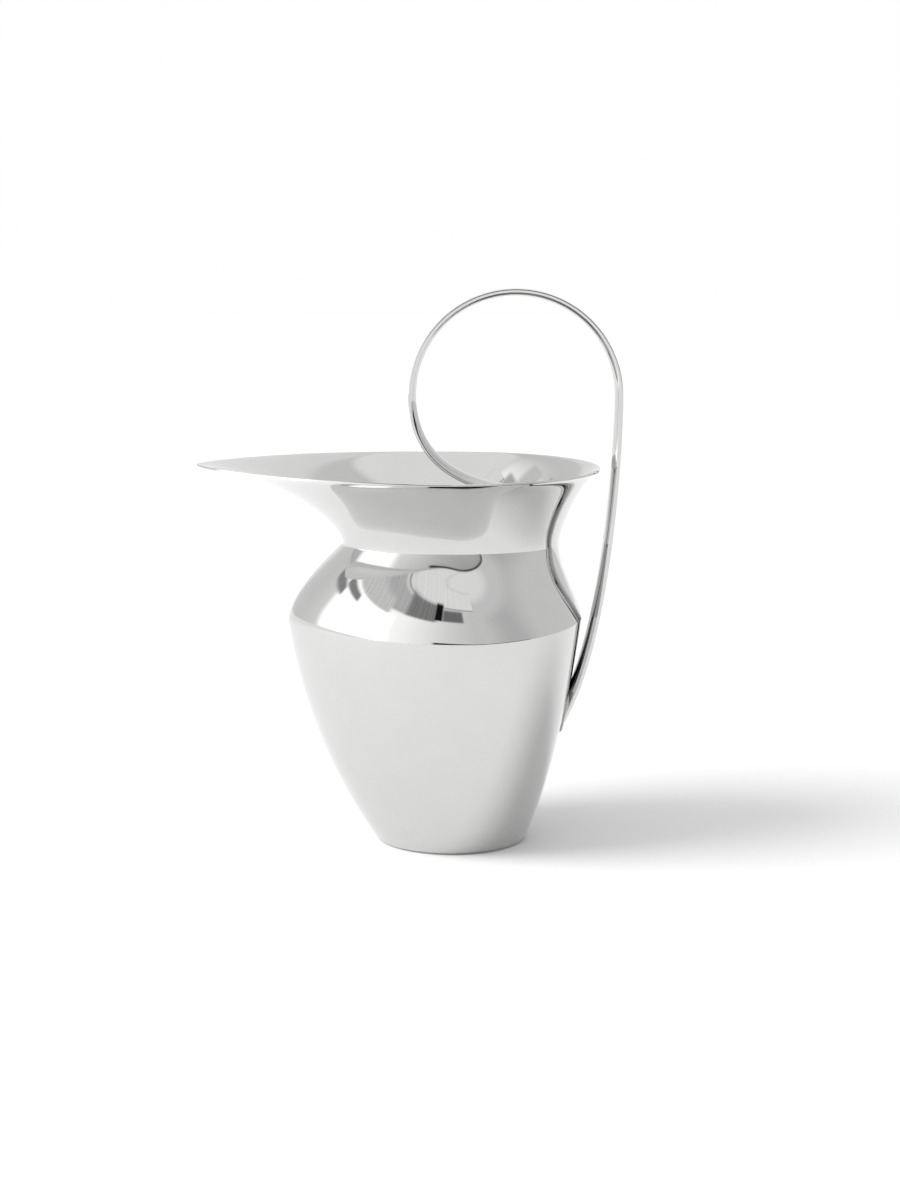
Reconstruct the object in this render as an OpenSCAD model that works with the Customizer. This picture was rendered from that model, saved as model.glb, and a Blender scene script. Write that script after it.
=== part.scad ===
// Sheet-metal water pitcher with a loop handle.
// Frame: +Z up, origin at the centre of the foot on the resting plane.
// The spout points along -X and the handle stands on the +X side.

/* [Levels] */
// Height of the belly ridge
belly_z = 120.7; // [110:0.1:130]
// Height of the neck crease at the spout and handle sides
neck_z = 162; // [150:0.5:170]
// Height of the rim
rim_z = 200.6; // [190:0.1:215]

/* [Plan] */
// Radius of the foot
foot_r = 40.5; // [35:0.5:45]
// Reach of the belly towards the spout
belly_front = 88.2; // [80:0.1:95]
// Reach of the belly towards the handle
belly_back = 70.5; // [65:0.1:78]
// Half width of the belly
belly_half = 78.5; // [70:0.5:84]
// Radius of the neck in the plane of spout and handle
neck_r = 58.5; // [52:0.1:64]
// Half width of the neck
neck_half = 52; // [50:0.5:60]
// Reach of the spout tip
spout_reach = 136; // [120:0.5:145]
// Radius of the round part of the rim
rim_r = 79.4; // [74:0.1:84]
// How far the spout tip rises above the rest of the rim
tip_rise = 1.7; // [0:0.1:4]
// How far the belly ridge rises towards the handle
belly_rise = 2.4; // [0:0.1:4]
// How far the neck crease rises on the two flanks
crease_rise = 1.3; // [0:0.1:3]

/* [Sheet] */
// Thickness of the sheet metal
wall = 1.2; // [0.8:0.1:1.6]
// Thickness of the solder beads
bead = 1; // [0.6:0.1:1.4]

/* [Handle] */
// Radius of the loop, to the middle of the band
loop_r = 54.8; // [48:0.1:58]
// Distance of the loop's centre from the axis
loop_x = 34; // [30:0.5:38]
// Height of the loop's centre
loop_z = 240.7; // [236:0.1:250]
// Depth of the band at its thinnest place
band_depth = 3.9; // [3:0.1:5]
// Extra depth at the lower end
foot_depth = 2.2; // [1:0.1:4]
// Extra depth at the upper end
tail_depth = 2.6; // [1:0.1:3.5]
// Width of the band on top of the loop
band_width = 12; // [9:0.5:16]
// Extra width at the two ends
end_width = 7; // [3:0.5:9]
// Thickness of the band's two long edges
band_edge = 1.1; // [0.8:0.1:2]

/* [Hidden] */
$fn = 96;

columns = 72;        // columns of facets round each shell
low_rows = 16;
shoulder_rows = 10;
funnel_rows = 18;
leg_steps = 24;
loop_steps = 24;
tail_steps = 12;
arch_steps = 8;      // facets across the band's arched side
silver = [0.8, 0.81, 0.82];
solder_grey = [0.62, 0.62, 0.61];
clear = 0.03;        // keeps a solder bead's facets just off the sheet's

// A shell is [heights, spout-side reach, handle-side reach, plan centre, half width,
// teardrop amount, rise at the spout side, rise on the flanks, rise at the handle
// side]. The first three and the half width are cubic Bezier control values; the
// others run evenly from the lower edge to the upper edge.
third = belly_z / 3;
body_skin = [
    [0, third, 2 * third, belly_z],
    [foot_r, foot_r + 28.5, belly_front - 6, belly_front],
    [foot_r, foot_r + 16.4, belly_back - 5.9, belly_back],
    [0, 8],
    [foot_r, foot_r + 21, belly_half - 4, belly_half],
    [0, 0.9], [0, -0.2], [0, 0], [0, belly_rise]];
rise = (neck_z - belly_z) / 3;
shoulder_skin = [
    [belly_z, belly_z + rise, belly_z + 2 * rise, neck_z],
    [belly_front, belly_front - 2.4, neck_r + 14.5, neck_r],
    [belly_back, belly_back - 3.9, neck_r - 0.5, neck_r - 0.9],
    [8, 0],
    [belly_half, belly_half - 2.5, neck_half + 9, neck_half],
    [0.9, 0], [-0.2, 0], [0, crease_rise], [belly_rise, 0]];
funnel_skin = [
    [neck_z, neck_z + 10, rim_z - 3.6, rim_z],
    [neck_r, neck_r - 1, neck_r + 32.5, spout_reach],
    [neck_r - 0.9, neck_r, rim_r - 9.4, rim_r],
    [0, 0],
    [neck_half, neck_half + 0.6, rim_r - 5.4, rim_r],
    [0, 1], [0, tip_rise], [crease_rise, 0], [0, 0]];

// Cubic Bezier with the four control values c, at t from 0 to 1
function bezier(c, t) =
    c[0] * pow(1 - t, 3) + 3 * c[1] * t * pow(1 - t, 2) + 3 * c[2] * t * t * (1 - t) + c[3] * pow(t, 3);
// Straight run between the two values c
function run(c, t) = c[0] + (c[1] - c[0]) * t;

// Outer surface: a half ellipse on the handle side, and a half teardrop on the spout
// side that is an ellipse where the teardrop amount is 0 and comes to a point at 1
function skin(s, t, a) =
    let (tear = run(s[5], t), middle = run(s[3], t), half = bezier(s[4], t),
        c = abs(cos(a)), end_rise = run(cos(a) < 0 ? s[6] : s[8], t),
        level = bezier(s[0], t) + pow(c, 1.3) * end_rise + pow(sin(a), 2) * run(s[7], t))
    cos(a) >= 0
        ? [middle + (bezier(s[2], t) - middle) * c, half * sin(a), level]
        : [middle - (bezier(s[1], t) + middle) * pow(c, 2 / (2 + 0.2 * tear)),
            half * sign(sin(a)) * pow(abs(sin(a)), 1 + 0.5 * tear), level];

// Unit vector out of the surface, from the two directions along it
function outward(s, t, a) =
    let (up = skin(s, min(t + 0.002, 1), a) - skin(s, max(t - 0.002, 0), a),
        along = skin(s, t, a + 0.2) - skin(s, t, a - 0.2), n = cross(along, up))
    n / norm(n);

// Inner surface, one wall inside the outer one. Near an edge that is joined to the
// next shell the offset is level, so that the two shells meet on one ring.
function lining(s, t, a, low_joint, high_joint) =
    let (n = outward(s, t, a), flat = [n[0], n[1], 0] / norm([n[0], n[1]]),
        k = min(1, (low_joint ? t / 0.15 : 1), (high_joint ? (1 - t) / 0.15 : 1)),
        d = flat + (n - flat) * k)
    skin(s, t, a) - d * wall / norm(d);

// Quads between ring i and ring i + 1 of a grid of n columns, as triangles
function band_faces(n, i, first) = [
    for (j = [0:n - 1]) let (k = (j + 1) % n, p = first + i * n, q = p + n)
        each [[p + j, q + j, q + k], [p + j, q + k, p + k]]];
function reversed(faces) = [for (f = faces) [f[2], f[1], f[0]]];

// Closed shell of one wall's thickness between two open edges
module shell(s, rows, low_joint, high_joint) {
    outer = [for (i = [0:rows], j = [0:columns - 1]) skin(s, i / rows, 360 * j / columns)];
    inner = [for (i = [0:rows], j = [0:columns - 1])
        lining(s, i / rows, 360 * j / columns, low_joint, high_joint)];
    m = len(outer);
    top = rows * columns;
    edges = [for (j = [0:columns - 1]) let (k = (j + 1) % columns) each [
        [j, k, m + k], [j, m + k, m + j],
        [top + k, top + j, m + top + j], [top + k, m + top + j, m + top + k]]];
    polyhedron(concat(outer, inner), concat(
        [for (i = [0:rows - 1]) each band_faces(columns, i, 0)],
        [for (i = [0:rows - 1]) each reversed(band_faces(columns, i, m))],
        edges));
}

// Closed solid inside a grid of rings, capped by a fan from the middle of each end
module filled(rings) {
    n = len(rings[0]);
    last = len(rings) - 1;
    points = concat([for (r = rings) each r], [middle_of(rings[0]), middle_of(rings[last])]);
    a = len(points) - 2;
    polyhedron(points, concat(
        [for (i = [0:last - 1]) each band_faces(n, i, 0)],
        [for (j = [0:n - 1]) [j, (j + 1) % n, a]],
        [for (j = [0:n - 1]) [last * n + (j + 1) % n, last * n + j, a + 1]]));
}
function middle_of(ring) = [for (p = ring) 1] * ring / len(ring);

module body_core() {
    filled([for (i = [0:low_rows])
        [for (j = [0:columns - 1]) skin(body_skin, i / low_rows, 360 * j / columns)]]);
}
module funnel_core() {
    filled([for (i = [0:funnel_rows])
        [for (j = [0:columns - 1]) lining(funnel_skin, i / funnel_rows, 360 * j / columns, true, false)]]);
}

// Middle line of the band in the plane of the loop, as [x, z]
leg_line = [[loop_x + 14, 54.3], [loop_x + 46.3, 78.1], [loop_x + loop_r, loop_z - 40.7], [loop_x + loop_r, loop_z]];
loop_end = 190;      // degrees of the circle
loop_exit = [loop_x + loop_r * cos(loop_end), loop_z + loop_r * sin(loop_end)];
loop_way = [-sin(loop_end), cos(loop_end)];
tail_end = [rim_r - 4.4, 186.3];
tail_line = [loop_exit, loop_exit + 46 * loop_way, [tail_end[0] - 29, tail_end[1] + 3.5], tail_end];
function on_line(c, t) = [bezier([for (p = c) p[0]], t), bezier([for (p = c) p[1]], t)];
line = concat(
    [for (i = [0:leg_steps - 1]) on_line(leg_line, i / leg_steps)],
    [for (i = [0:loop_steps - 1]) let (a = loop_end * i / loop_steps)
        [loop_x + loop_r * cos(a), loop_z + loop_r * sin(a)]],
    [for (i = [0:tail_steps]) on_line(tail_line, i / tail_steps)]);
stations = len(line);
thinnest = 0.64;     // share of the stations up to the thinnest place
function share(i) = i / (stations - 1);
function depth_at(u) = u < thinnest
    ? band_depth + foot_depth * pow(1 - u / thinnest, 1.75)
    : band_depth + tail_depth * pow((u - thinnest) / (1 - thinnest), 2);
function width_at(u) = band_width + end_width * pow(abs(u - thinnest) / thinnest, 1.5);

// Cross-section of the band as [across the line, along Y]: thin edges on the outer
// side of the loop and one arch towards its inside, grown all round by extra
function band_section(u, extra) =
    let (d = depth_at(u), w = width_at(u) / 2 + extra, low = -d / 2 - extra, arch = d - band_edge + extra)
    concat([[low, -w], [low, w]],
        [for (k = [0:arch_steps]) let (a = 180 * k / arch_steps)
            [low + band_edge + arch * sin(a) + extra, w * cos(a)]]);

// Band rings from station first to station last
function band_rings(first, last, extra) = [for (i = [first:last])
    let (p = line[max(i - 1, 0)], q = line[min(i + 1, stations - 1)], way = (q - p) / norm(q - p))
    [for (v = band_section(share(i), extra))
        [line[i][0] - way[1] * v[0], v[1], line[i][1] + way[0] * v[0]]]];

// Point on the facets of a shell's lining, a share f of one row in from the edge at t = 0
// or, for the upper edge, back from the edge at t = 1
function lining_near(s, rows, f, upper, a, low_joint, high_joint) =
    let (edge = lining(s, upper ? 1 : 0, a, low_joint, high_joint),
        next = lining(s, upper ? 1 - 1 / rows : 1 / rows, a, low_joint, high_joint))
    edge + (next - edge) * f;
// Level unit vector towards the inside
function inward(s, t, a) = let (n = outward(s, t, a)) -[n[0], n[1], 0] / norm([n[0], n[1]]);

// Closed ring of solder through one small section for each column
module solder_ring(sections) {
    sides = len(sections[0]);
    count = len(sections);
    polyhedron([for (r = sections) each r],
        [for (j = [0:count - 1], k = [0:sides - 1])
            let (p = j * sides, q = ((j + 1) % count) * sides, m = (k + 1) % sides)
            each [[p + k, p + m, q + m], [p + k, q + m, q + k]]]);
}
// Fillet in the corner between the upper edge of shell s and the lower edge of shell r
module joint_solder(s, s_rows, r, r_rows, r_high_joint) {
    solder_ring([for (j = [0:columns - 1]) let (a = 360 * j / columns, v = inward(s, 1, a) * clear,
        low = lining_near(s, s_rows, reach_of(s, s_rows), true, a, true, true),
        corner = lining(s, 1, a, true, true),
        high = lining_near(r, r_rows, reach_of(r, r_rows), false, a, true, r_high_joint))
        [low + v, corner + v, high + v, corner + inward(s, 1, a) * bead]]);
}
// Share of a row that is two beads high
function reach_of(s, rows) = 2 * bead * rows / (s[0][3] - s[0][0]);

// Round bottom: a flat ring that the pitcher stands on and a raised, pressed panel
ring_inner = foot_r - 7;
panel_rise = 2;
plate_r = foot_r - wall - 0.06;
module base_plate() {
    color(silver) rotate_extrude() polygon([
        [0, panel_rise], [ring_inner - 2, panel_rise], [ring_inner, 0], [plate_r, 0],
        [plate_r, wall], [ring_inner + 0.6, wall], [ring_inner - 1.4, panel_rise + wall], [0, panel_rise + wall]]);
}
module lower_body() {
    color(silver) shell(body_skin, low_rows, true, true);
}
module shoulder() {
    color(silver) shell(shoulder_skin, shoulder_rows, true, true);
}
module spout_funnel() {
    color(silver) shell(funnel_skin, funnel_rows, true, false);
}

// The band stops on the funnel's lining at its upper end and on the body at its lower end
module end_trim() {
    difference() {
        translate([rim_r - 40, -20, neck_z]) cube([38, 40, rim_z - neck_z]);
        funnel_core();
    }
    body_core();
}
module handle_band() {
    color(silver) difference() {
        filled(band_rings(0, stations - 1, 0));
        end_trim();
    }
}

module base_solder() {
    row = belly_z / low_rows;
    color(solder_grey) solder_ring([for (j = [0:columns - 1])
        let (a = 360 * j / columns, v = inward(body_skin, 0, a),
            foot = lining_near(body_skin, low_rows, (wall + clear) / row, false, a, true, true),
            top = lining_near(body_skin, low_rows, (wall + 2 * bead) / row, false, a, true, true))
        [foot + v * clear, top + v * clear, foot + v * 2 * bead]]);
}
module belly_solder() {
    color(solder_grey) joint_solder(body_skin, low_rows, shoulder_skin, shoulder_rows, true);
}
module neck_solder() {
    color(solder_grey) joint_solder(shoulder_skin, shoulder_rows, funnel_skin, funnel_rows, false);
}
// Fillets round the two ends of the band, each a slightly larger stretch of the band
// less the band itself and the sheet that it lies on
module handle_upper_solder() {
    color(solder_grey) difference() {
        intersection() {
            filled(band_rings(stations - 4, stations - 1, bead));
            translate([rim_r - 20, -20, neck_z]) cube([22, 40, 40]);
        }
        filled(band_rings(0, stations - 1, 0));
        end_trim();
    }
}
module handle_lower_solder() {
    rows = 8;
    steps = 6;
    half = width_at(0) / 2 + 0.8 * bead;
    function spot(i, j, lift) = let (t = 0.44 + 0.3 * i / rows,
        a = asin(half / bezier(body_skin[4], t)) * (2 * j / steps - 1))
        skin(body_skin, t, a) + outward(body_skin, t, a) * lift;
    color(solder_grey) difference() {
        filled([for (i = [0:rows]) concat(
            [for (j = [0:steps]) spot(i, j, 0.6 * bead)], [for (j = [steps:-1:0]) spot(i, j, 2 * clear)])]);
        filled(band_rings(0, stations - 1, 0));
    }
}

base_plate();
lower_body();
shoulder();
spout_funnel();
handle_band();
base_solder();
belly_solder();
neck_solder();
handle_upper_solder();
handle_lower_solder();
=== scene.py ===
import math
from collections import namedtuple

import bpy
import numpy as np
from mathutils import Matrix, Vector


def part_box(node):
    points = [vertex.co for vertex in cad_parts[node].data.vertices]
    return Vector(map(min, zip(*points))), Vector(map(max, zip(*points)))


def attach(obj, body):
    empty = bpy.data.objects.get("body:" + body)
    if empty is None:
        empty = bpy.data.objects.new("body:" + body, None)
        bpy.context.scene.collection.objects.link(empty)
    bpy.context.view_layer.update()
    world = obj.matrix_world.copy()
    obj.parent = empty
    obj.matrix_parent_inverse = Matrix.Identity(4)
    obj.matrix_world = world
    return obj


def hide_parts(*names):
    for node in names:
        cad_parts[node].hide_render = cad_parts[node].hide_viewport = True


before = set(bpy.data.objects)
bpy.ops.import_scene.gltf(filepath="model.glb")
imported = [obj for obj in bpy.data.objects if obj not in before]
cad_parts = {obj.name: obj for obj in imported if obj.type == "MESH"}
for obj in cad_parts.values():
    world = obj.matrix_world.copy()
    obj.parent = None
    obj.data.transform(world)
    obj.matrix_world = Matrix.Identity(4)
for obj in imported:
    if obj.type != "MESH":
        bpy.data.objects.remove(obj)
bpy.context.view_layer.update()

bl_info = {
    "name": "Water Pitcher",
    "version": (1, 0, 0),
    "blender": (4, 5, 0),
    "location": "View3D > Sidebar > Pitcher",
    "description": "Builds a polished sheet-metal pitcher with a loop handle round its fixed frame",
    "category": "Add Mesh",
}

MM = 0.001
COLUMNS = 320          # columns of quads round each shell
BODY_ROWS = 130
SHOULDER_ROWS = 72
FUNNEL_ROWS = 110
BAND_STATIONS = 520
LOW, HIGH = 0, 1
BELLY_RISE = 2.4 * MM  # how far the belly ridge rises towards the handle
TIP_RISE = 1.7 * MM    # how far the spout tip stands above the rim
SOFT_REACH = 0.3 * MM  # reach of the soft corner on the belly ridge
SOFT_TURN = math.radians(9)
LIP_CROWN = 0.22 * MM  # height of the crown on the rim's edge
SEAT_GAP = 0.06 * MM   # gap between the base plate and the sheet round it
LOOP_TURN = math.radians(190)
WALL_LIGHT = 0.8       # brightness of the studio where no patch covers it
DIFFUSE_DIM = 0.12     # share of the studio's light that matt surfaces do not get


def corner(node, which, axis):
    """One coordinate, in metres, of a CAD node's box at rest."""
    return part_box(node)[which][axis]


# ---------------------------------------------------------------- sizes and colours

class PitcherSizes(bpy.types.PropertyGroup):
    """Driving sizes of the sheet-metal body."""
    belly_z: bpy.props.FloatProperty(
        name="Belly height", description="Height of the belly ridge", unit="LENGTH",
        default=corner("lower_body", HIGH, 2) - BELLY_RISE)
    neck_z: bpy.props.FloatProperty(
        name="Neck height", description="Height of the neck crease at the spout side", unit="LENGTH",
        default=corner("spout_funnel", LOW, 2))
    rim_z: bpy.props.FloatProperty(
        name="Rim height", description="Height of the rim at the handle side", unit="LENGTH",
        default=corner("spout_funnel", HIGH, 2) - TIP_RISE)
    tip_rise: bpy.props.FloatProperty(
        name="Tip rise", description="How far the spout tip stands above the rim", unit="LENGTH",
        default=TIP_RISE)
    crease_rise: bpy.props.FloatProperty(
        name="Crease rise", description="How far the neck crease rises on the flanks", unit="LENGTH",
        default=1.3 * MM)
    foot_r: bpy.props.FloatProperty(
        name="Foot radius", description="Radius of the foot", unit="LENGTH",
        default=corner("base_plate", HIGH, 0) + 1.26 * MM)
    belly_front: bpy.props.FloatProperty(
        name="Belly front", description="Reach of the belly towards the spout", unit="LENGTH",
        default=-corner("lower_body", LOW, 0))
    belly_back: bpy.props.FloatProperty(
        name="Belly back", description="Reach of the belly towards the handle", unit="LENGTH",
        default=corner("lower_body", HIGH, 0))
    belly_half: bpy.props.FloatProperty(
        name="Belly half width", description="Half width of the belly", unit="LENGTH",
        default=corner("lower_body", HIGH, 1))
    belly_rise: bpy.props.FloatProperty(
        name="Belly rise", description="How far the belly ridge rises towards the handle",
        unit="LENGTH", default=BELLY_RISE)
    neck_r: bpy.props.FloatProperty(
        name="Neck radius", description="Radius of the neck towards the spout", unit="LENGTH",
        default=58.5 * MM)
    neck_half: bpy.props.FloatProperty(
        name="Neck half width", description="Half width of the neck", unit="LENGTH", default=52 * MM)
    spout_reach: bpy.props.FloatProperty(
        name="Spout reach", description="Distance of the spout tip from the axis", unit="LENGTH",
        default=-corner("spout_funnel", LOW, 0))
    rim_r: bpy.props.FloatProperty(
        name="Rim radius", description="Radius of the round part of the rim", unit="LENGTH",
        default=corner("spout_funnel", HIGH, 1))
    wall: bpy.props.FloatProperty(
        name="Sheet", description="Thickness of the sheet", unit="LENGTH", default=1.2 * MM)
    bead: bpy.props.FloatProperty(
        name="Solder", description="Size of a solder fillet", unit="LENGTH", default=1 * MM)


class HandleSizes(bpy.types.PropertyGroup):
    """Driving sizes of the loop handle."""
    loop_r: bpy.props.FloatProperty(
        name="Loop radius", description="Radius to the middle of the band", unit="LENGTH", default=54.8 * MM)
    loop_x: bpy.props.FloatProperty(
        name="Loop offset", description="Loop centre's distance from the axis", unit="LENGTH",
        default=34 * MM)
    loop_z: bpy.props.FloatProperty(
        name="Loop height", description="Height of the loop's centre", unit="LENGTH", default=240.7 * MM)
    depth: bpy.props.FloatProperty(
        name="Depth", description="Depth of the band at its thinnest", unit="LENGTH", default=3.9 * MM)
    foot_depth: bpy.props.FloatProperty(
        name="Foot depth", description="Extra depth at the lower end", unit="LENGTH", default=2.2 * MM)
    tail_depth: bpy.props.FloatProperty(
        name="Tail depth", description="Extra depth at the upper end", unit="LENGTH", default=2.6 * MM)
    width: bpy.props.FloatProperty(
        name="Width", description="Width of the band on top of the loop", unit="LENGTH", default=12 * MM)
    end_width: bpy.props.FloatProperty(
        name="End width", description="Extra width at the two ends", unit="LENGTH", default=7 * MM)
    edge: bpy.props.FloatProperty(
        name="Edge", description="Thickness of the two long edges", unit="LENGTH", default=1.1 * MM)


class MetalLook(bpy.types.PropertyGroup):
    """Colours and polish of the metals."""
    silver: bpy.props.FloatVectorProperty(
        name="Silver", description="Reflection colour of the polished sheet", subtype="COLOR", size=3,
        default=(0.63, 0.63, 0.625))
    solder: bpy.props.FloatVectorProperty(
        name="Solder", description="Reflection colour of the solder", subtype="COLOR", size=3,
        default=(0.44, 0.44, 0.43))
    polish: bpy.props.FloatProperty(
        name="Polish", description="Roughness of the polished sheet", subtype="FACTOR", default=0.03)
    wave: bpy.props.FloatProperty(
        name="Wave", description="Depth of the hand-worked waviness", unit="LENGTH", default=0.12 * MM)


class StudioLook(bpy.types.PropertyGroup):
    """Floor, light and camera of the stage."""
    floor: bpy.props.FloatVectorProperty(
        name="Floor", description="Colour of the floor", subtype="COLOR", size=3, default=(0.9, 0.9, 0.9))
    key: bpy.props.FloatProperty(
        name="Key light", description="Strength of the broad light that casts the shadow", default=1.7)
    fill: bpy.props.FloatProperty(
        name="Fill light", description="Power of the soft light at the left", unit="POWER", default=4.0)
    lens: bpy.props.FloatProperty(
        name="Lens", description="Focal length in millimetres", default=70.0)
    eye: bpy.props.FloatVectorProperty(
        name="Eye", description="Place of the camera", subtype="TRANSLATION", size=3,
        default=(-0.0008, -1.241, 0.342))
    pitch: bpy.props.FloatProperty(
        name="Pitch", description="How far the camera looks down", subtype="ANGLE",
        default=math.radians(9.66))


# ---------------------------------------------------------------- shapes of the sheet

# The levels, the reach to the spout side and to the handle side and the half width are
# cubic Bezier control values from the lower edge to the upper one. The middle of the
# plan, the teardrop amount and the three rises run evenly between two values.
Shell = namedtuple("Shell", "levels front back half middle tear front_rise flank_rise back_rise")


def bezier(c, t):
    """Cubic Bezier c0 (1-t)^3 + 3 c1 t (1-t)^2 + 3 c2 t^2 (1-t) + c3 t^3."""
    return c[0] * (1 - t) ** 3 + 3 * c[1] * t * (1 - t) ** 2 + 3 * c[2] * t * t * (1 - t) + c[3] * t ** 3


def run(pair, t):
    """Straight run from the first value to the second."""
    return pair[0] + (pair[1] - pair[0]) * t


def skin(s, t, a):
    """Outer surface of a shell at height parameter t and plan angle a, in radians.
    Handle side: x = middle + (back - middle) cos a, y = half sin a, a half ellipse.
    Spout side: x = middle - (front + middle) |cos a|^(2 / (2 + 0.2 tear)) and
    y = half sign(sin a) |sin a|^(1 + 0.5 tear), which is a half ellipse where tear is 0
    and a teardrop where it is 1. z is the Bezier level, plus the rise of that side times
    |cos a|^1.3, plus the flank rise times sin(a)^2."""
    t, a = np.broadcast_arrays(np.asarray(t, float), np.asarray(a, float))
    c, side = np.cos(a), np.sin(a)
    side = np.where(np.abs(side) < 1e-9, 0.0, side)
    tear, middle, half = run(s.tear, t), run(s.middle, t), bezier(s.half, t)
    back = middle + (bezier(s.back, t) - middle) * np.abs(c)
    front = middle - (bezier(s.front, t) + middle) * np.abs(c) ** (2 / (2 + 0.2 * tear))
    y_front = half * np.sign(side) * np.abs(side) ** (1 + 0.5 * tear)
    x = np.where(c >= 0, back, front)
    y = np.where(c >= 0, half * side, y_front)
    end_rise = np.where(c < 0, run(s.front_rise, t), run(s.back_rise, t))
    z = bezier(s.levels, t) + np.abs(c) ** 1.3 * end_rise + side ** 2 * run(s.flank_rise, t)
    return np.stack([x, y, z], axis=-1)


def unit(v):
    """Vectors divided by their lengths."""
    return v / np.linalg.norm(v, axis=-1, keepdims=True)


def outward(s, t, a):
    """Unit normal: the cross product of the steps along the plan and up the profile."""
    t = np.asarray(t, float)
    up = skin(s, np.minimum(t + 0.002, 1), a) - skin(s, np.maximum(t - 0.002, 0), a)
    along = skin(s, t, a + 0.0035) - skin(s, t, a - 0.0035)
    return unit(np.cross(along, up))


def level(n):
    """A normal laid level, as a unit vector."""
    return unit(n * np.array([1.0, 1.0, 0.0]))


def lining_shift(s, t, a, joints, wall):
    """Step from the outer to the inner surface: one wall against the normal, and level
    near an edge that meets the next shell, so that both shells meet on one ring."""
    n = outward(s, t, a)
    t = np.broadcast_to(np.asarray(t, float), n.shape[:-1])
    k = np.minimum(1, np.minimum(t / 0.15 if joints[0] else 1.0, (1 - t) / 0.15 if joints[1] else 1.0))
    flat = level(n)
    return -wall * unit(flat + (n - flat) * k[..., None])


def pitcher_shells(z):
    """The three shells of the body from the driving sizes z."""
    third, rise = z.belly_z / 3, (z.neck_z - z.belly_z) / 3
    body = Shell(
        (0, third, 2 * third, z.belly_z),
        (z.foot_r, z.foot_r + 28.5 * MM, z.belly_front - 6 * MM, z.belly_front),
        (z.foot_r, z.foot_r + 16.4 * MM, z.belly_back - 5.9 * MM, z.belly_back),
        (z.foot_r, z.foot_r + 21 * MM, z.belly_half - 4 * MM, z.belly_half),
        (0, 8 * MM), (0, 0.9), (0, -0.2 * MM), (0, 0), (0, z.belly_rise))
    shoulder = Shell(
        (z.belly_z, z.belly_z + rise, z.belly_z + 2 * rise, z.neck_z),
        (z.belly_front, z.belly_front - 2.4 * MM, z.neck_r + 14.5 * MM, z.neck_r),
        (z.belly_back, z.belly_back - 3.9 * MM, z.neck_r - 0.5 * MM, z.neck_r - 0.9 * MM),
        (z.belly_half, z.belly_half - 2.5 * MM, z.neck_half + 9 * MM, z.neck_half),
        (8 * MM, 0), (0.9, 0), (-0.2 * MM, 0), (0, z.crease_rise), (z.belly_rise, 0))
    funnel = Shell(
        (z.neck_z, z.neck_z + 10 * MM, z.rim_z - 3.6 * MM, z.rim_z),
        (z.neck_r, z.neck_r - 1 * MM, z.neck_r + 32.5 * MM, z.spout_reach),
        (z.neck_r - 0.9 * MM, z.neck_r, z.rim_r - 9.4 * MM, z.rim_r),
        (z.neck_half, z.neck_half + 0.6 * MM, z.rim_r - 5.4 * MM, z.rim_r),
        (0, 0), (0, 1), (0, z.tip_rise), (z.crease_rise, 0), (0, 0))
    return body, shoulder, funnel


def even_ends(count):
    """Parameters from 0 to 1 that crowd together at both ends: (1 - cos(pi k / n)) / 2."""
    return (1 - np.cos(np.linspace(0, math.pi, count + 1))) / 2


def edge_softening(distance, reach, turn):
    """Depth of a soft corner: turn (reach - distance)^2 / (2 reach) inside reach, else 0.
    Its slope at the edge is turn, so two shells that each turn half the corner meet smoothly."""
    return turn * np.maximum(reach - distance, 0) ** 2 / (2 * reach)


def loop_mesh(name, grid, close_rows=True):
    """Mesh from a grid of points, rows by columns, closed round its columns and, where
    close_rows is true, round its rows too. Row and column directions give outward faces."""
    rows, columns = grid.shape[:2]
    i = np.arange(rows if close_rows else rows - 1)[:, None]
    j = np.arange(columns)[None, :]
    k, m = (i + 1) % rows, (j + 1) % columns
    quads = np.stack([i * columns + j, i * columns + m, k * columns + m, k * columns + j], axis=-1)
    faces = [tuple(q) for q in quads.reshape(-1, 4).tolist()]
    if not close_rows:
        faces.append(tuple(range(columns))[::-1])
        faces.append(tuple(range((rows - 1) * columns, rows * columns)))
    mesh = bpy.data.meshes.new(name)
    mesh.from_pydata(grid.reshape(-1, 3).tolist(), [], faces)
    mesh.polygons.foreach_set("use_smooth", np.ones(len(mesh.polygons), bool))
    mesh.set_sharp_from_angle(angle=math.radians(32))
    mesh.update()
    return mesh


def place(name, mesh, material, nodes):
    """Puts a finished mesh in the scene, in place of the CAD nodes that it stands for."""
    if not len(mesh.polygons):
        raise RuntimeError(name + " has no faces")
    mesh.materials.append(material)
    piece = bpy.data.objects.new(name, mesh)
    bpy.context.scene.collection.objects.link(piece)
    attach(piece, "root")
    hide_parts(*nodes)


def plan_angles():
    """One row of plan angles, from the handle round past the spout."""
    return np.linspace(0, 2 * math.pi, COLUMNS, endpoint=False)[None, :]


def sheet_grid(s, t, joints, wall, softening, lip):
    """Closed section of a sheet for each plan angle: up the outer surface, over the top
    edge, down the lining and back along the lower edge. softening is how far each outer
    row steps inwards, and lip is how far the top edge is crowned."""
    a = plan_angles()
    t = t[:, None]
    n = outward(s, t, a)
    outer = skin(s, t, a) - n * softening
    inner = skin(s, t, a) + lining_shift(s, t, a, joints, wall)
    if not lip:
        return np.concatenate([outer, inner[::-1]])
    up = unit(outer[-1] - outer[-3])
    turn = np.linspace(0, math.pi, 9)[1:-1][:, None, None]
    middle, arm = (outer[-1] + inner[-1]) / 2, (outer[-1] - inner[-1]) / 2
    crown = middle + arm * np.cos(turn) + up * lip * np.sin(turn) ** 0.6
    return np.concatenate([outer, crown, inner[::-1]])


# ---------------------------------------------------------------- shape of the handle

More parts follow.
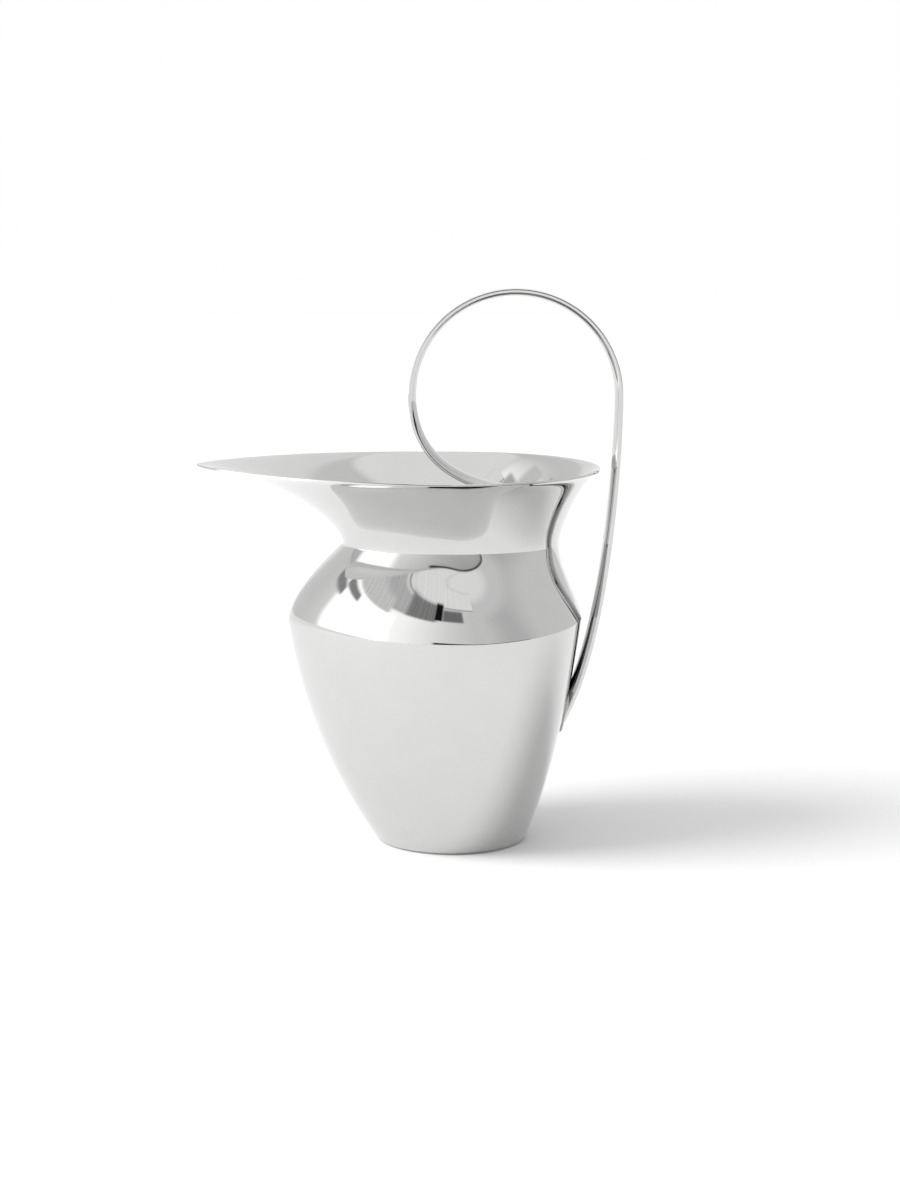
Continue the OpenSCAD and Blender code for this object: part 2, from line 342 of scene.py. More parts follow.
def handle_line(h, z):
    """Middle line of the band in the XZ plane, as x and z at even steps of length: a
    Bezier up from the body, an arc of 190 degrees over the top, and a Bezier down and
    back into the funnel. With it comes the share of the way that the CAD counts: 0 to
    0.4 on the leg, to 0.8 on the loop and to 1 on the tail."""
    leg = np.array([[h.loop_x + 14 * MM, 54.3 * MM], [h.loop_x + 46.3 * MM, 78.1 * MM],
                    [h.loop_x + h.loop_r, h.loop_z - 40.7 * MM], [h.loop_x + h.loop_r, h.loop_z]])
    leave = np.array([h.loop_x + h.loop_r * math.cos(LOOP_TURN),
                      h.loop_z + h.loop_r * math.sin(LOOP_TURN)])
    way = np.array([-math.sin(LOOP_TURN), math.cos(LOOP_TURN)])
    end = np.array([z.rim_r - 4.4 * MM, 186.3 * MM])
    tail = np.array([leave, leave + 46 * MM * way, end + [-29 * MM, 3.5 * MM], end])
    t_leg = np.linspace(0, 1, 400, endpoint=False)[:, None]
    angle = np.linspace(0, LOOP_TURN, 400, endpoint=False)
    arc = np.stack([h.loop_x + h.loop_r * np.cos(angle), h.loop_z + h.loop_r * np.sin(angle)], axis=-1)
    t_tail = np.linspace(0, 1, 200)[:, None]
    line = np.concatenate([bezier(leg, t_leg), arc, bezier(tail, t_tail)])
    share = np.concatenate([np.linspace(0, 0.4, 400, endpoint=False),
                            np.linspace(0.4, 0.8, 400, endpoint=False), np.linspace(0.8, 1, 200)])
    gone = np.concatenate([[0], np.cumsum(np.linalg.norm(np.diff(line, axis=0), axis=1))])
    even = np.linspace(0, gone[-1], BAND_STATIONS)
    return (np.stack([np.interp(even, gone, line[:, 0]), np.interp(even, gone, line[:, 1])], axis=-1),
            np.interp(even, gone, share))


def band_measures(h, share):
    """Depth and half width of the band: thinnest at 0.64 of its stations, and growing
    towards both ends by powers of the distance from there."""
    thinnest = 0.64
    foot = np.maximum(1 - share / thinnest, 0)
    tail = np.maximum((share - thinnest) / (1 - thinnest), 0)
    depth = h.depth + h.foot_depth * foot ** 1.75 + h.tail_depth * tail ** 2
    width = h.width + h.end_width * (np.abs(share - thinnest) / thinnest) ** 1.5
    return depth, width / 2


def band_section(depth, half, edge, arch_points=24):
    """Cross-section for each station, as distance across the line and along Y: a nearly
    flat face on the outer side of the loop, two thin edges with soft corners, and a
    half-elliptic arch, depth sqrt(1 - (y / half)^2), towards the inside of the loop."""
    soft = 0.3 * MM
    low = -depth / 2
    turn = np.linspace(0, math.pi / 2, 5)
    face = np.linspace(-1, 1, 9)[1:-1]
    across, y = [], []
    for f in face:                                     # outer face, crowned by a hair
        across.append(low - 0.12 * MM * (1 - f * f))
        y.append((half - soft) * f)
    for b in turn:                                     # corner between face and edge
        across.append(low + soft * (1 - math.cos(b)))
        y.append(half - soft + soft * math.sin(b))
    for k in np.linspace(0, 1, arch_points + 1):       # arch from one edge to the other
        u = math.cos(math.pi * k)
        across.append(low + edge + (depth - edge) * math.sin(math.pi * k))
        y.append(half * u)
    for b in turn[::-1]:
        across.append(low + soft * (1 - math.cos(b)))
        y.append(-half + soft - soft * math.sin(b))
    return np.stack(across, axis=-1), np.stack(y, axis=-1)


def band_frame(line):
    """Direction of travel and direction towards the inside of the loop at each point."""
    way = unit(np.gradient(line, axis=0))
    return way, np.stack([-way[:, 1], way[:, 0]], axis=-1)


def body_x(s, y, z):
    """x of the body's outer skin on the handle side at the place y, z. The body's levels
    are even, so its height parameter is z over the height with the handle side's rise."""
    t = np.clip(z / (s.levels[3] + s.back_rise[1]), 0, 1)
    middle, half = run(s.middle, t), bezier(s.half, t)
    return middle + (bezier(s.back, t) - middle) * np.sqrt(np.maximum(1 - (y / half) ** 2, 0))


def funnel_x(s, y, z):
    """x of the funnel's outer skin on the handle side at the place y, z, from 400 levels
    of its profile."""
    t = np.linspace(0, 1, 400)
    levels = bezier(s.levels, t)
    on_axis, half = np.interp(z, levels, bezier(s.back, t)), np.interp(z, levels, bezier(s.half, t))
    return on_axis * np.sqrt(np.maximum(1 - (y / half) ** 2, 0))


# ---------------------------------------------------------------- shader node groups

def new_group(name, inputs, outputs):
    """Empty shader node group with float inputs, each (name, default), and named outputs."""
    group = bpy.data.node_groups.new(name, "ShaderNodeTree")
    for label, value in inputs:
        socket = group.interface.new_socket(name=label, in_out="INPUT", socket_type="NodeSocketFloat")
        socket.default_value = value
    for label, kind in outputs:
        group.interface.new_socket(name=label, in_out="OUTPUT", socket_type=kind)
    return group, group.nodes.new("NodeGroupInput"), group.nodes.new("NodeGroupOutput")


def math_node(tree, operation, first, second=None):
    """Math node on two sockets or numbers. Returns its output."""
    node = tree.nodes.new("ShaderNodeMath")
    node.operation = operation
    for socket, value in zip(node.inputs, (first, second)):
        if isinstance(value, bpy.types.NodeSocket):
            tree.links.new(value, socket)
        elif value is not None:
            socket.default_value = value
    return node.outputs[0]


def noise_node(tree, vector, scale, detail, roughness=0.5):
    """Noise texture on a vector socket. scale is a number or a socket."""
    node = tree.nodes.new("ShaderNodeTexNoise")
    node.inputs["Detail"].default_value = detail
    node.inputs["Roughness"].default_value = roughness
    tree.links.new(vector, node.inputs["Vector"])
    if isinstance(scale, bpy.types.NodeSocket):
        tree.links.new(scale, node.inputs["Scale"])
    else:
        node.inputs["Scale"].default_value = scale
    return node.outputs[0]


def polish_group():
    """Hand polish: slow waves in the sheet, fine wiping marks and faint clouding."""
    group, given, out = new_group(
        "Hand Polish", [("Wave Scale", 22.0), ("Wave", 1.0), ("Marks", 1.0), ("Roughness", 0.03)],
        [("Height", "NodeSocketFloat"), ("Roughness", "NodeSocketFloat"), ("Clouding", "NodeSocketFloat")])
    place_of = group.nodes.new("ShaderNodeTexCoord").outputs["Object"]
    waves = math_node(group, "MULTIPLY", noise_node(group, place_of, given.outputs["Wave Scale"], 1.0),
                      given.outputs["Wave"])
    stretch = group.nodes.new("ShaderNodeMapping")
    stretch.inputs["Scale"].default_value = (1.0, 1.0, 14.0)
    group.links.new(place_of, stretch.inputs["Vector"])
    marks = noise_node(group, stretch.outputs[0], 900.0, 3.0, 0.6)
    fine = math_node(group, "MULTIPLY", math_node(group, "MULTIPLY", marks, 0.004), given.outputs["Marks"])
    group.links.new(math_node(group, "ADD", waves, fine), out.inputs["Height"])
    clouds = noise_node(group, place_of, 60.0, 4.0, 0.55)
    spread = math_node(group, "MULTIPLY_ADD", clouds, 0.9)
    spread.node.inputs[2].default_value = 0.55
    group.links.new(math_node(group, "MULTIPLY", spread, given.outputs["Roughness"]), out.inputs["Roughness"])
    group.links.new(clouds, out.inputs["Clouding"])
    return group


def turned_group():
    """Turned finish: fine rings round the Z axis, for the underside of the base."""
    group, given, out = new_group(
        "Turned Rings", [("Rings per metre", 1500.0), ("Depth", 1.0)], [("Height", "NodeSocketFloat")])
    place_of = group.nodes.new("ShaderNodeTexCoord").outputs["Object"]
    split = group.nodes.new("ShaderNodeSeparateXYZ")
    group.links.new(place_of, split.inputs[0])
    radius = math_node(group, "SQRT", math_node(
        group, "ADD", math_node(group, "MULTIPLY", split.outputs[0], split.outputs[0]),
        math_node(group, "MULTIPLY", split.outputs[1], split.outputs[1])))
    rings = group.nodes.new("ShaderNodeTexNoise")
    rings.noise_dimensions = "1D"
    rings.inputs["Detail"].default_value = 3.0
    group.links.new(math_node(group, "MULTIPLY", radius, given.outputs["Rings per metre"]), rings.inputs["W"])
    height = math_node(group, "MULTIPLY", rings.outputs[0], given.outputs["Depth"])
    group.links.new(height, out.inputs["Height"])
    return group


def shader_group(name, build):
    """A shader node group by name, built the first time that it is asked for."""
    return bpy.data.node_groups.get(name) or build()


def metal_material(name, colour, roughness, wave, marks, tint=0.03):
    """Polished or dull metal: a metallic Principled BSDF whose waviness, wiping marks,
    clouding and roughness come from the Hand Polish group."""
    found = bpy.data.materials.get(name)
    if found:
        return found
    material = bpy.data.materials.new(name)
    material.use_nodes = True
    tree = material.node_tree
    shader = tree.nodes["Principled BSDF"]
    shader.inputs["Metallic"].default_value = 1.0
    polish = tree.nodes.new("ShaderNodeGroup")
    polish.node_tree = shader_group("Hand Polish", polish_group)
    polish.inputs["Marks"].default_value = marks
    polish.inputs["Roughness"].default_value = roughness
    tree.links.new(polish.outputs["Roughness"], shader.inputs["Roughness"])
    tone = tree.nodes.new("ShaderNodeMix")
    tone.data_type = "RGBA"
    tone.inputs[6].default_value = (*[c * (1 - tint) for c in colour], 1)
    tone.inputs[7].default_value = (*[min(1, c * (1 + tint)) for c in colour], 1)
    tree.links.new(polish.outputs["Clouding"], tone.inputs[0])
    tree.links.new(tone.outputs[2], shader.inputs["Base Color"])
    bump = tree.nodes.new("ShaderNodeBump")
    bump.name = "Polish Bump"
    bump.inputs["Distance"].default_value = wave
    tree.links.new(polish.outputs["Height"], bump.inputs["Height"])
    tree.links.new(bump.outputs[0], shader.inputs["Normal"])
    return material


def sheet_material():
    """Mirror-polished sheet of the body, the shoulder and the funnel."""
    look = bpy.context.scene.pitcher_metal
    return metal_material("mirror_sheet", look.silver, look.polish, look.wave, 1.0)


def band_material():
    """Mirror-polished bar of the handle, with less wave than the sheet."""
    look = bpy.context.scene.pitcher_metal
    return metal_material("mirror_band", look.silver, look.polish, look.wave * 0.3, 1.0)


def solder_material():
    """Duller silver solder with a slightly lumpy surface."""
    look = bpy.context.scene.pitcher_metal
    return metal_material("silver_solder", look.solder, 0.3, 0.15 * MM, 6.0, 0.1)


def base_material():
    """Satin base plate with turned rings."""
    silver = bpy.context.scene.pitcher_metal.silver
    material = metal_material("turned_base", silver, 0.22, 0.02 * MM, 2.0, 0.05)
    tree = material.node_tree
    rings = tree.nodes.new("ShaderNodeGroup")
    rings.node_tree = shader_group("Turned Rings", turned_group)
    bump = tree.nodes.new("ShaderNodeBump")
    bump.inputs["Distance"].default_value = 0.02 * MM
    shader = tree.nodes["Principled BSDF"]
    tree.links.new(rings.outputs[0], bump.inputs["Height"])
    tree.links.new(tree.nodes["Polish Bump"].outputs[0], bump.inputs["Normal"])
    tree.links.new(bump.outputs[0], shader.inputs["Normal"])
    return material


# ---------------------------------------------------------------- pieces

class PITCHER_OT_lower_body(bpy.types.Operator):
    """Tall lower bowl from the round foot to the belly ridge"""
    bl_idname = "pitcher.lower_body"
    bl_label = "Lower body"

    def execute(self, context):
        z = context.scene.pitcher_sizes
        body = pitcher_shells(z)[0]
        t = even_ends(BODY_ROWS)
        height, foot_round = t * z.belly_z, 1.6 * MM
        foot = foot_round - np.sqrt(np.maximum(foot_round ** 2 - np.maximum(foot_round - height, 0) ** 2, 0))
        soft = foot + edge_softening(z.belly_z - height, SOFT_REACH, SOFT_TURN)
        grid = sheet_grid(body, t, (True, True), z.wall, soft[:, None, None], 0)
        place("lower_body_sheet", loop_mesh("lower_body_sheet", grid), sheet_material(),
              ["lower_body"])
        return {"FINISHED"}


class PITCHER_OT_shoulder(bpy.types.Operator):
    """Shoulder between the belly ridge and the neck crease"""
    bl_idname = "pitcher.shoulder"
    bl_label = "Shoulder"

    def execute(self, context):
        z = context.scene.pitcher_sizes
        shoulder = pitcher_shells(z)[1]
        t = even_ends(SHOULDER_ROWS)
        soft = edge_softening(t * (z.neck_z - z.belly_z), SOFT_REACH, SOFT_TURN)
        grid = sheet_grid(shoulder, t, (True, True), z.wall, soft[:, None, None], 0)
        place("shoulder_sheet", loop_mesh("shoulder_sheet", grid), sheet_material(),
              ["shoulder"])
        return {"FINISHED"}


class PITCHER_OT_spout_funnel(bpy.types.Operator):
    """Flared neck and mouth drawn out to the spout"""
    bl_idname = "pitcher.spout_funnel"
    bl_label = "Spout funnel"

    def execute(self, context):
        z = context.scene.pitcher_sizes
        funnel = pitcher_shells(z)[2]
        grid = sheet_grid(funnel, even_ends(FUNNEL_ROWS), (True, False), z.wall, 0, LIP_CROWN)
        place("spout_funnel_sheet", loop_mesh("spout_funnel_sheet", grid), sheet_material(),
              ["spout_funnel"])
        return {"FINISHED"}


class PITCHER_OT_base_plate(bpy.types.Operator):
    """Round base plate with a standing ring and a raised panel"""
    bl_idname = "pitcher.base_plate"
    bl_label = "Base plate"

    def execute(self, context):
        z = context.scene.pitcher_sizes
        plate_r, ring, rise, wall = z.foot_r - z.wall - SEAT_GAP, z.foot_r - 7 * MM, 2 * MM, z.wall
        slope = np.linspace(0, 1, 17)
        ease = slope * slope * (3 - 2 * slope)
        under = [(r, rise) for r in np.linspace(0.05 * MM, ring - 3 * MM, 30)]
        under += [(ring - 2.6 * MM + 2.6 * MM * u, rise * (1 - e)) for u, e in zip(slope, ease)]
        under += [(r, 0.0) for r in np.linspace(ring + 0.5 * MM, plate_r, 8)]
        over = [(r, h + wall) for r, h in under[::-1]]
        profile = np.array(under + over)
        a = plan_angles()
        grid = np.stack([profile[:, :1] * np.cos(a), profile[:, :1] * np.sin(a),
                         profile[:, 1:] + 0 * a], axis=-1)
        place("base_plate_disc", loop_mesh("base_plate_disc", grid[:, ::-1]),
              base_material(), ["base_plate"])
        return {"FINISHED"}


class PITCHER_OT_handle_band(bpy.types.Operator):
    """Tapered band that loops from the body over the mouth and into the funnel"""
    bl_idname = "pitcher.handle_band"
    bl_label = "Handle band"

    def execute(self, context):
        z, h = context.scene.pitcher_sizes, context.scene.pitcher_handle
        body, _, funnel = pitcher_shells(z)
        line, share = handle_line(h, z)
        depth, half = band_measures(h, share)
        across, y = band_section(depth, half, h.edge)
        _, inside = band_frame(line)
        x = line[:, :1] + inside[:, :1] * across
        up = line[:, 1:] + inside[:, 1:] * across
        low = up < z.belly_z
        x = np.where(low, np.maximum(x, body_x(body, y, up) - z.wall / 2), x)
        tail = (share[:, None] > 0.85) & (up < z.rim_z)
        x = np.where(tail, np.minimum(x, funnel_x(funnel, y, up) - z.wall * 0.6), x)
        grid = np.stack([x, y, up], axis=-1)
        place("handle_band_bar", loop_mesh("handle_band_bar", grid, close_rows=False), band_material(),
              ["handle_band"])
        return {"FINISHED"}


def ring_fillet(low, middle, high, bulge, steps=6):
    """Closed solder section for each plan angle: the corner of the sheet, and a quadratic
    Bezier from the high point to the low point that is drawn towards bulge."""
    u = np.linspace(0, 1, steps + 1)[:, None, None]
    face = high * (1 - u) ** 2 + 2 * bulge * u * (1 - u) + low * u * u
    return np.concatenate([low[None], middle[None], face[:-1]])


class PITCHER_OT_ring_solder(bpy.types.Operator):
    """Rings of solder inside the base, the belly ridge and the neck crease"""
    bl_idname = "pitcher.ring_solder"
    bl_label = "Ring solder"

    def execute(self, context):
        z = context.scene.pitcher_sizes
        shells = pitcher_shells(z)
        a, bead, clear = plan_angles()[0], z.bead, 0.03 * MM

        def lining(s, t, joints):
            return skin(s, t, a) + lining_shift(s, t, a, joints, z.wall)

        both = (True, True)
        joins = [("belly_solder", shells[0], shells[1], both),
                 ("neck_solder", shells[1], shells[2], (True, False))]
        for name, lower, upper, joints in joins:
            middle = lining(lower, 1.0, both)
            inward = -level(outward(lower, 1.0, a))
            low = lining(lower, 1 - 2 * bead / (lower.levels[3] - lower.levels[0]), both)
            high = lining(upper, 2 * bead / (upper.levels[3] - upper.levels[0]), joints)
            grid = ring_fillet(low, middle, high, middle + inward * bead * 1.3) + inward * clear
            place(name + "_ring", loop_mesh(name + "_ring", grid), solder_material(), [name])
        inward = -level(outward(shells[0], 0.0, a))
        foot = lining(shells[0], (z.wall + clear) / z.belly_z, both) + inward * clear
        top = lining(shells[0], (z.wall + 2 * bead) / z.belly_z, both) + inward * clear
        inner = foot + inward * 2 * bead
        grid = ring_fillet(inner, foot, top, foot + inward * 0.5 * bead + np.array([0, 0, 0.5 * bead]))
        place("base_solder_ring", loop_mesh("base_solder_ring", grid[::-1][:, ::-1]), solder_material(),
              ["base_solder"])
        return {"FINISHED"}


class PITCHER_OT_handle_solder(bpy.types.Operator):
    """Fillets of solder round the two ends of the handle"""
    bl_idname = "pitcher.handle_solder"
    bl_label = "Handle solder"

    def execute(self, context):
        z, h = context.scene.pitcher_sizes, context.scene.pitcher_handle
        body, _, funnel = pitcher_shells(z)
        self.upper(z, h, funnel)
        self.lower(z, h, body)
        return {"FINISHED"}

    def upper(self, z, h, funnel):
        """Concave quarter round from the band to the funnel's lining, carried round the
        band's section, and closed behind inside the sheet."""
        line, share = handle_line(h, z)
        way, inside = band_frame(line)
        depth, half = band_measures(h, share)
        across, y = band_section(depth, half, h.edge)
        last, r = -6, 1.3 * z.bead
        section = np.stack([across[last], y[last]], axis=-1)
        step = np.roll(section, -1, axis=0) - np.roll(section, 1, axis=0)
        out = unit(np.stack([step[:, 1], -step[:, 0]], axis=-1))
        turn = np.linspace(0, math.pi / 2, 9)[:, None]
        spread = r * (1 - np.cos(turn))
        back = r * (1 - np.sin(turn))
        c = section[None, :, 0] + out[None, :, 0] * spread
        w = section[None, :, 1] + out[None, :, 1] * spread
        up = line[last, 1] + inside[last, 1] * c
        x = funnel_x(funnel, w, up) - z.wall * 1.25 - back * way[last, 0]
        face = np.stack([x, w, up], axis=-1)
        hidden = np.stack([funnel_x(funnel, w[-1:], up[-1:]) - z.wall * 0.6, w[-1:], up[-1:]], axis=-1)
        core = np.stack([funnel_x(funnel, w[:1], up[:1]) - z.wall * 0.6, w[:1], up[:1]], axis=-1)
        grid = np.concatenate([face, hidden, core])
        place("handle_upper_fillet", loop_mesh("handle_upper_fillet", grid), solder_material(),
              ["handle_upper_solder"])

    def lower(self, z, h, body):
        """Low fillet over the body's skin round the band's lower end: its height is
        r (1 - sqrt(1 - (1 - d / r)^2)) at the distance d from the band's outline."""
        tip, top, r = 60.5 * MM, 82 * MM, 1.1 * z.bead
        half = band_measures(h, np.array([0.04]))[1][0]
        rows, columns = 48, 64
        up = np.linspace(tip - r, top, rows)[:, None]
        y = (half + r) * np.sin(np.linspace(-1, 1, columns) * math.pi / 2)[None, :]
        d = np.hypot(np.maximum(np.abs(y) - half + 0.15 * MM, 0), np.maximum(tip - up, 0))
        rise = r * (1 - np.sqrt(np.maximum(1 - (1 - np.minimum(d / r, 1)) ** 2, 0)))
        rise = rise * np.clip((top - up) / (6 * MM), 0, 1)
        skin_x = body_x(body, y, up + 0 * y)
        y, up = y + 0 * up, up + 0 * y
        outer = np.stack([skin_x + rise + 0.01 * MM, y, up], axis=-1)
        inner = np.stack([skin_x - 0.3 * MM, y, up], axis=-1)
        grid = np.concatenate([outer, inner[:, ::-1]], axis=1)
        place("handle_lower_fillet", loop_mesh("handle_lower_fillet", grid, close_rows=False),
              solder_material(), ["handle_lower_solder"])


# ---------------------------------------------------------------- stage

def window_group():
    """Soft-edged window of the studio: 1 between the azimuth and elevation limits, in
    degrees, falling to 0 over the softness."""
    group, given, out = new_group(
        "Soft Window", [("Azimuth", 0), ("Elevation", 0), ("Left", -30), ("Right", 30), ("Bottom", 0),
                        ("Top", 30), ("Side Softness", 5), ("End Softness", 5)],
        [("Mask", "NodeSocketFloat")])
    socket = given.outputs

    def ramp(value, limit, above, softness):
        pair = (value, limit) if above else (limit, value)
        gap = math_node(group, "SUBTRACT", *pair)
        node = group.nodes.new("ShaderNodeMapRange")
        node.interpolation_type = "SMOOTHSTEP"
        group.links.new(gap, node.inputs[0])
        half = math_node(group, "MULTIPLY", softness, 0.5)
        group.links.new(math_node(group, "MULTIPLY", half, -1.0), node.inputs[1])
        group.links.new(half, node.inputs[2])
        return node.outputs[0]

    side, end = socket["Side Softness"], socket["End Softness"]
    sides = math_node(group, "MULTIPLY", ramp(socket["Azimuth"], socket["Left"], True, side),
                      ramp(socket["Azimuth"], socket["Right"], False, side))
    ends = math_node(group, "MULTIPLY", ramp(socket["Elevation"], socket["Bottom"], True, end),
                     ramp(socket["Elevation"], socket["Top"], False, end))
    group.links.new(math_node(group, "MULTIPLY", sides, ends), out.inputs["Mask"])
    return group


# Each patch of the studio: brightness, left, right, bottom, top, softness of its sides and
# of its ends, and depth of its folds. Azimuth 0 is towards the viewer and grows to the
# viewer's right. Angles are in degrees, and a later patch covers an earlier one.
PATCHES = [
    (0.64, 40, 80, -9, 52, 36, 10, 0.0),        # grey card at the right front
    (1.50, -95, -24, -9, 62, 80, 8, 0.0),       # glow of the front wall
    (1.04, -200, 200, 62, 100, 1, 5, 0.0),      # overhead diffuser
    (0.96, -200, -156, -9, 62, 10, 8, 0.0),     # wall behind
    (0.96, 156, 200, -9, 62, 10, 8, 0.0),       # the same wall, past the half turn
    (2.40, -107, -57, -9, 40, 12, 3, 0.0),      # large soft light at the left front
    (0.40, -75.5, 19, 57.0, 65, 1, 0.6, 0.0),   # shaded edge of the cloth overhead
    (1.04, -75.5, 19, 57.6, 65, 1, 0.6, 0.25),  # lit cloth overhead
    (0.62, -86, -44, 44, 57, 5, 3, 0.35),       # hung cloth over the soft light
    (0.28, -47, -20, 44, 58, 5, 3, 0.55),       # its shaded folds
    (0.34, -122, -105, 28, 33, 4, 3, 0.3),      # dark end of its rail
    (0.34, -107, -88, 33, 38, 4, 3, 0.3),       # the rail's middle
    (0.80, -114, -60, 39, 50, 5, 4, 0.3),       # cloth over the rail
    (0.01, -21.5, -15, 46, 59, 1.5, 2, 0.0),    # black stand
    (0.21, -15, 1, 46, 56, 3, 3, 0.15),         # grey stand beside it
    (0.02, -20, 75, 2, 11.5, 4, 2, 0.0),        # unlit room behind the viewer
]


class PITCHER_OT_stage(bpy.types.Operator):
    """Pale floor, soft studio surroundings, key light and camera"""
    bl_idname = "pitcher.stage"
    bl_label = "Stage"

    def execute(self, context):
        look = context.scene.pitcher_studio
        self.floor(look)
        self.surroundings(context)
        self.key_light(look)
        self.camera(context, look)
        context.scene.view_settings.view_transform = "Standard"
        return {"FINISHED"}

    def floor(self, look):
        """A level disc, 12 m across, as rings of growing radius."""
        radius = np.geomspace(0.02, 6, 24)[:, None]
        a = np.linspace(0, 2 * math.pi, 96, endpoint=False)[None, :]
        grid = np.stack([radius * np.cos(a), radius * np.sin(a), 0 * radius * a], axis=-1)
        rows, columns = grid.shape[:2]
        i, j = np.arange(rows - 1)[:, None], np.arange(columns)[None, :]
        m = (j + 1) % columns
        k = i + 1
        quads = np.stack([i * columns + j, k * columns + j, k * columns + m, i * columns + m], axis=-1)
        faces = [tuple(q) for q in quads.reshape(-1, 4).tolist()] + [tuple(range(columns))]
        mesh = bpy.data.meshes.new("floor")
        mesh.from_pydata(grid.reshape(-1, 3).tolist(), [], faces)
        material = bpy.data.materials.new("pale_floor")
        material.use_nodes = True
        tree = material.node_tree
        shader = tree.nodes["Principled BSDF"]
        shader.inputs["Roughness"].default_value = 0.9
        shader.inputs["Specular IOR Level"].default_value = 0.1
        place_of = tree.nodes.new("ShaderNodeTexCoord").outputs["Object"]
        tone = tree.nodes.new("ShaderNodeMix")
        tone.data_type = "RGBA"
        tone.inputs[6].default_value = (*[c * 0.985 for c in look.floor], 1)
        tone.inputs[7].default_value = (*look.floor, 1)
        tree.links.new(noise_node(tree, place_of, 6.0, 3.0), tone.inputs[0])
        tree.links.new(tone.outputs[2], shader.inputs["Base Color"])
        mesh.materials.append(material)
        floor = bpy.data.objects.new("floor", mesh)
        bpy.context.scene.collection.objects.link(floor)

    def surroundings(self, context):
        """World light: even grey walls, the patches of the studio over them, and plain white
        where the camera looks straight at it."""
        world = bpy.data.worlds.new("studio")
        context.scene.world = world
        world.use_nodes = True
        tree = world.node_tree
        split = tree.nodes.new("ShaderNodeSeparateXYZ")
        tree.links.new(tree.nodes.new("ShaderNodeTexCoord").outputs["Generated"], split.inputs[0])
        toward = math_node(tree, "MULTIPLY", split.outputs[1], -1.0)
        azimuth = math_node(tree, "DEGREES", math_node(tree, "ARCTAN2", split.outputs[0], toward))
        height = math_node(tree, "DEGREES", math_node(tree, "ARCSINE", split.outputs[2]))
        folds = tree.nodes.new("ShaderNodeTexNoise")
        folds.noise_dimensions = "1D"
        folds.inputs["Detail"].default_value = 3.0
        tree.links.new(math_node(tree, "MULTIPLY", azimuth, 0.28), folds.inputs["W"])
        crease = math_node(tree, "MULTIPLY", math_node(tree, "SUBTRACT", folds.outputs[0], 0.5), 4.0)
        value = WALL_LIGHT
        for light, *limits, depth in PATCHES:
            window = tree.nodes.new("ShaderNodeGroup")
            window.node_tree = shader_group("Soft Window", window_group)
            tree.links.new(azimuth, window.inputs[0])
            tree.links.new(height, window.inputs[1])
            for k, number in enumerate(limits):
                window.inputs[k + 2].default_value = number
            mix = tree.nodes.new("ShaderNodeMix")
            tree.links.new(window.outputs[0], mix.inputs[0])
            if isinstance(value, float):
                mix.inputs[2].default_value = value
            else:
                tree.links.new(value, mix.inputs[2])
            lit = math_node(tree, "MULTIPLY_ADD", crease, light * depth)
            lit.node.inputs[2].default_value = light
            tree.links.new(math_node(tree, "MAXIMUM", lit, 0.0), mix.inputs[3])
            value = mix.outputs[0]
        path = tree.nodes.new("ShaderNodeLightPath")
        dim = math_node(tree, "MULTIPLY", path.outputs["Is Diffuse Ray"], -DIFFUSE_DIM)
        lit = math_node(tree, "MULTIPLY", value, math_node(tree, "ADD", dim, 1.0))
        backdrop = tree.nodes.new("ShaderNodeMix")
        tree.links.new(path.outputs["Is Camera Ray"], backdrop.inputs[0])
        tree.links.new(lit, backdrop.inputs[2])
        backdrop.inputs[3].default_value = 1.0
        tree.links.new(backdrop.outputs[0], tree.nodes["Background"].inputs["Color"])

    def key_light(self, look):
        """Broad light from the upper left that casts the shadow, and a soft light at the
        left; patches of the surroundings stand for both in reflections."""
        broad = bpy.data.lights.new("broad", "SUN")
        broad.energy = look.key
        broad.angle = math.radians(34)
        soft = bpy.data.lights.new("soft", "AREA")
        soft.shape = "RECTANGLE"
        soft.size, soft.size_y = 0.8, 0.6
        soft.energy = look.fill
        for data, place_at, aim in ((broad, (-1, -0.3, 1), (1, 0.25, -0.95)),
                                    (soft, (-1.2, -0.3, 0.8), (1, 0.2, -0.7))):
            light = bpy.data.objects.new(data.name, data)
            light.location = place_at
            light.rotation_euler = direction_euler(aim)
            light.visible_glossy = False
            bpy.context.scene.collection.objects.link(light)

    def camera(self, context, look):
        """Level-rolled camera that looks along +Y and down by the pitch."""
        data = bpy.data.cameras.new("camera")
        data.lens = look.lens
        data.sensor_width = 36.0
        camera = bpy.data.objects.new("camera", data)
        camera.location = look.eye
        camera.rotation_euler = (math.pi / 2 - look.pitch, 0, 0)
        context.scene.collection.objects.link(camera)
        context.scene.camera = camera


def direction_euler(direction):
    """Euler angles that turn a light's -Z axis along a direction."""
    x, y, z = direction
    return (math.atan2(math.hypot(x, y), -z), 0, math.atan2(-x, y))


# ---------------------------------------------------------------- add-on

PIECES = (PITCHER_OT_lower_body, PITCHER_OT_shoulder, PITCHER_OT_spout_funnel, PITCHER_OT_base_plate,
          PITCHER_OT_handle_band, PITCHER_OT_ring_solder, PITCHER_OT_handle_solder, PITCHER_OT_stage)
SETTINGS = {"pitcher_sizes": PitcherSizes, "pitcher_handle": HandleSizes, "pitcher_metal": MetalLook,
            "pitcher_studio": StudioLook}


class PITCHER_PT_panel(bpy.types.Panel):
    """Sidebar panel with the pieces and their sizes"""
    bl_label = "Water Pitcher"
    bl_idname = "PITCHER_PT_panel"
    bl_space_type = "VIEW_3D"
    bl_region_type = "UI"
    bl_category = "Pitcher"

    def draw(self, context):
        for piece in PIECES:
            self.layout.operator(piece.bl_idname)
        for name, group in SETTINGS.items():
            settings = getattr(context.scene, name)
            for label in group.__annotations__:
                self.layout.prop(settings, label)


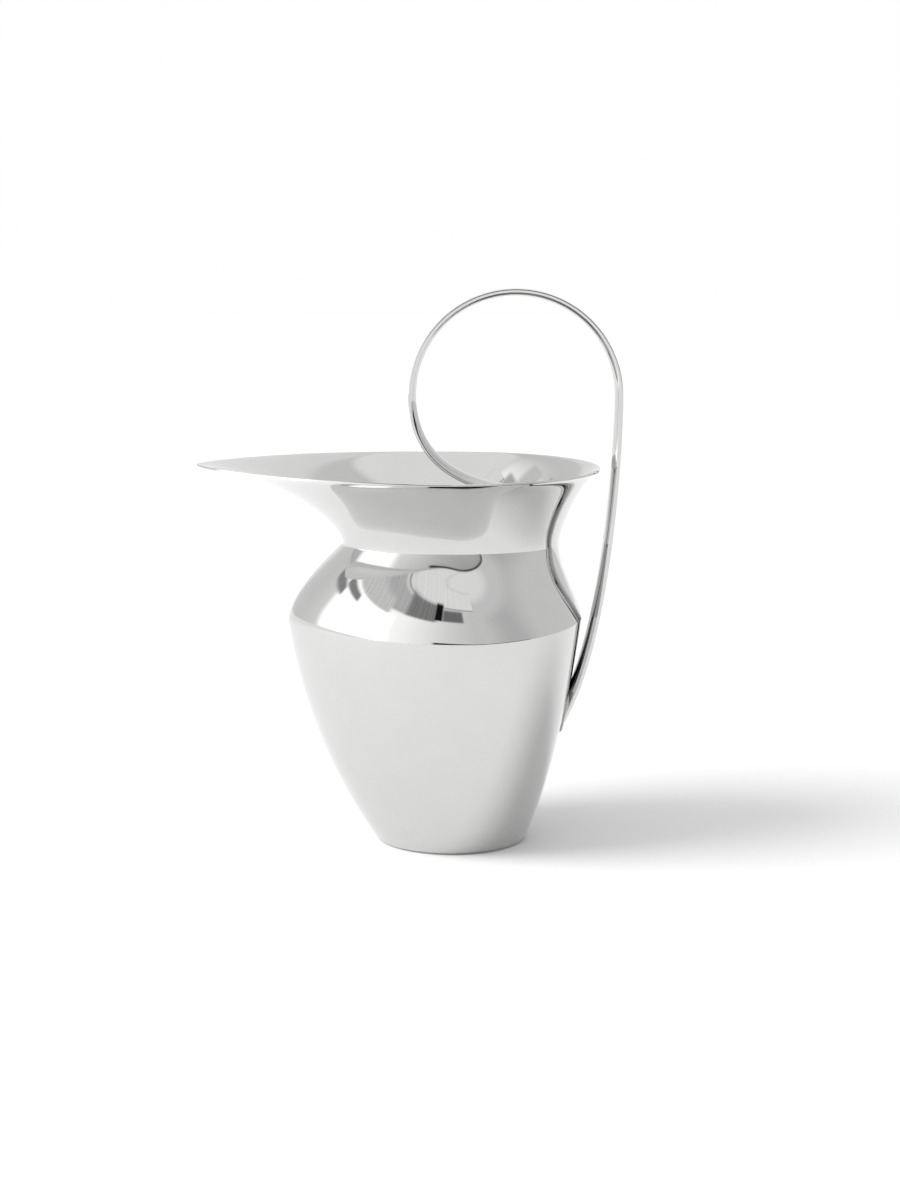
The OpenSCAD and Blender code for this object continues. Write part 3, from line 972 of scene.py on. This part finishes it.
def register():
    """Registers the classes and hangs the settings on the scene."""
    for group in SETTINGS.values():
        bpy.utils.register_class(group)
    for piece in PIECES:
        bpy.utils.register_class(piece)
    bpy.utils.register_class(PITCHER_PT_panel)
    for name, group in SETTINGS.items():
        setattr(bpy.types.Scene, name, bpy.props.PointerProperty(type=group))


def unregister():
    """Takes the settings off the scene and removes the classes."""
    for name in SETTINGS:
        delattr(bpy.types.Scene, name)
    for piece in (PITCHER_PT_panel, *PIECES, *SETTINGS.values()):
        bpy.utils.unregister_class(piece)


def main():
    register()
    for piece in PIECES:
        family, name = piece.bl_idname.split(".")
        getattr(getattr(bpy.ops, family), name)()
    bpy.context.view_layer.update()


if __name__ == "__main__":
    main()
